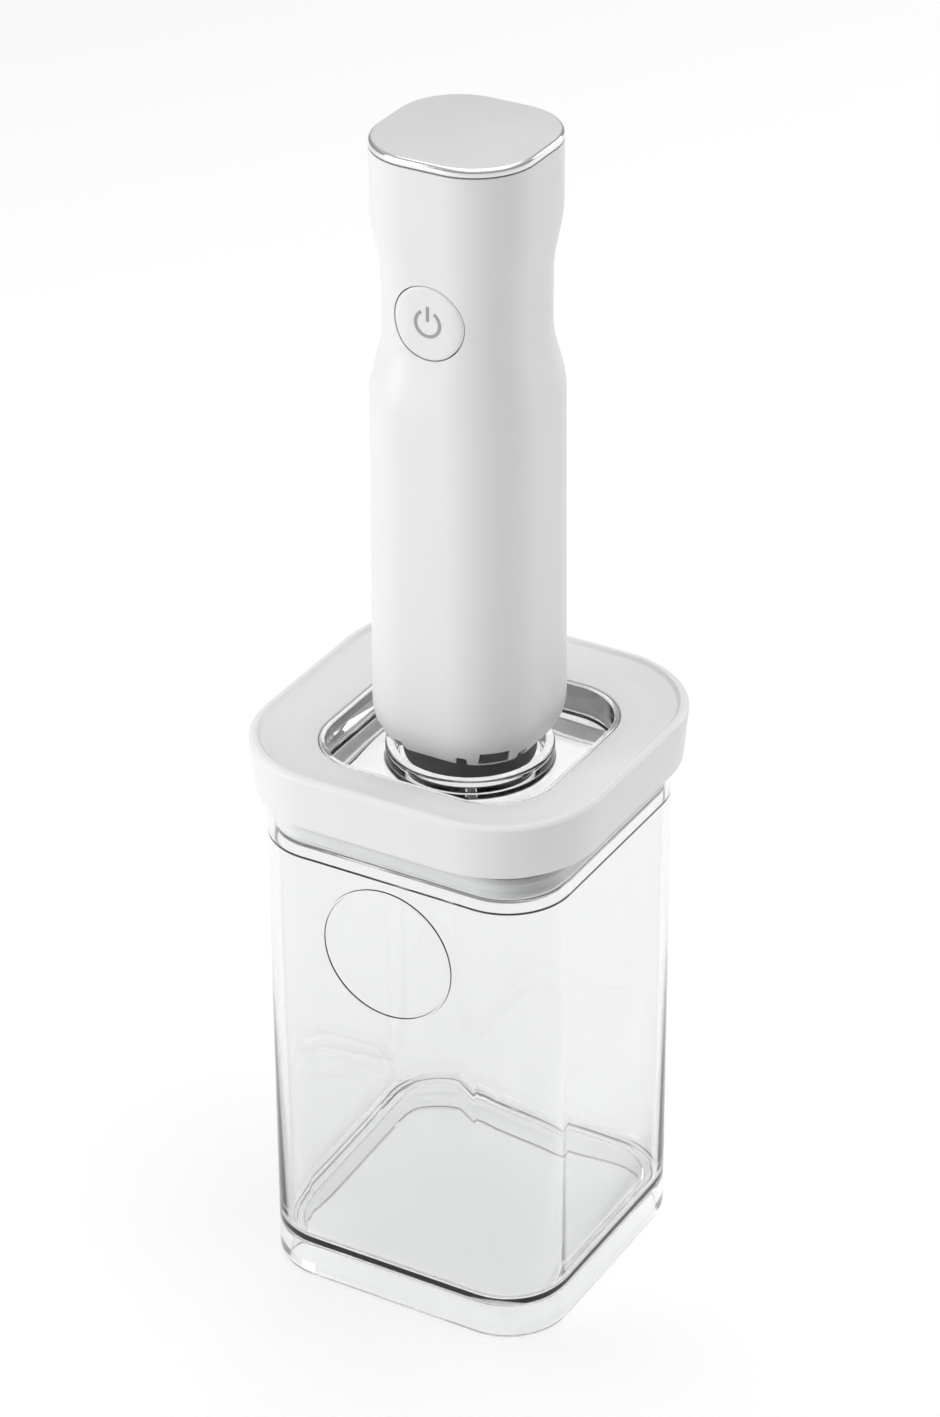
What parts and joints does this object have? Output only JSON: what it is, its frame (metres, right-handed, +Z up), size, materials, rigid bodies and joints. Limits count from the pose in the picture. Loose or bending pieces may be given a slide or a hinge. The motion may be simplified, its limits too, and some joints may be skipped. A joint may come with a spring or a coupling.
{
  "type": "handheld vacuum pump with vacuum storage box",
  "caption": "Cordless handheld vacuum pump with a round push button and metal cap, docked on the windowed lid of a clear square storage box.",
  "frame": {"origin": "centre of the underside of the storage box, on the surface it stands on", "axes": "+Z up along the pump, -Y towards the face with the push button, +X to the right of that face"},
  "size_m": [0.11, 0.11, 0.3604],
  "materials": {
    "white_housing": "fine satin moulded white plastic",
    "satin_cap": "satin metal with a polished edge",
    "clear_plastic": "clear glossy copolyester",
    "milky_silicone": "translucent silicone",
    "grey_silicone": "dark grey silicone",
    "inner_plastic": "moulded light grey plastic",
    "dark_plastic": "moulded dark plastic",
    "steel": "plain steel",
    "brass": "turned brass",
    "circuit_green": "solder-masked board",
    "cell_wrap": "shrink sleeve",
    "red_insulation": "wire insulation"
  },
  "bodies": {
    "box": {"storage_box": "clear_plastic"},
    "lid": {"lid_frame": "white_housing", "lid_window": "clear_plastic", "lid_gasket": "milky_silicone"},
    "valve": {"lid_valve": "milky_silicone"},
    "pump": {"housing_shell": "white_housing", "metal_cap": "satin_cap", "top_plug": "white_housing", "suction_seal": "grey_silicone", "seal_carrier": "inner_plastic", "intake_filter": "milky_silicone", "intake_hose": "milky_silicone", "head_cover": "dark_plastic", "valve_plate": "inner_plastic", "inlet_valve": "grey_silicone", "outlet_valve": "grey_silicone", "diaphragm": "grey_silicone", "drive_housing": "dark_plastic", "wobble_plate": "inner_plastic", "head_screw_1": "steel", "head_screw_2": "steel", "head_screw_3": "steel", "motor_can": "steel", "motor_end_bell": "dark_plastic", "motor_screw_1": "steel", "motor_screw_2": "steel", "inner_frame": "inner_plastic", "battery_cell": "cell_wrap", "cell_contact_bottom": "steel", "cell_contact_top": "steel", "control_board": "circuit_green", "board_screw_1": "steel", "board_screw_2": "steel", "switch_body": "dark_plastic", "charge_board": "circuit_green", "charging_socket": "steel", "motor_lead_red": "red_insulation", "motor_lead_black": "dark_plastic"},
    "button": {"power_button": "white_housing", "switch_plunger": "inner_plastic"},
    "rotor": {"motor_shaft": "steel", "crank_wheel": "brass"}
  },
  "joints": [
    {"name": "lid_lift", "type": "slide", "parent": "box", "child": "lid", "axis": [0, 0, 1], "range_m": [0, 0.06]},
    {"name": "pump_lift", "type": "slide", "parent": "lid", "child": "pump", "axis": [0, 0, 1], "range_m": [0, 0.08]},
    {"name": "valve_lift", "type": "slide", "parent": "lid", "child": "valve", "axis": [0, 0, 1], "range_m": [0, 0.0015], "stiffness_N_per_m": 100, "springref_m": -0.001},
    {"name": "button_press", "type": "slide", "parent": "pump", "child": "button", "axis": [0, 1, 0], "range_m": [0, 0.0008], "stiffness_N_per_m": 800, "springref_m": -0.0006},
    {"name": "crank_spin", "type": "hinge", "parent": "pump", "child": "rotor", "pos_m": [0, 0, 0.216], "axis": [0, 0, 1], "continuous": true}
  ]
}
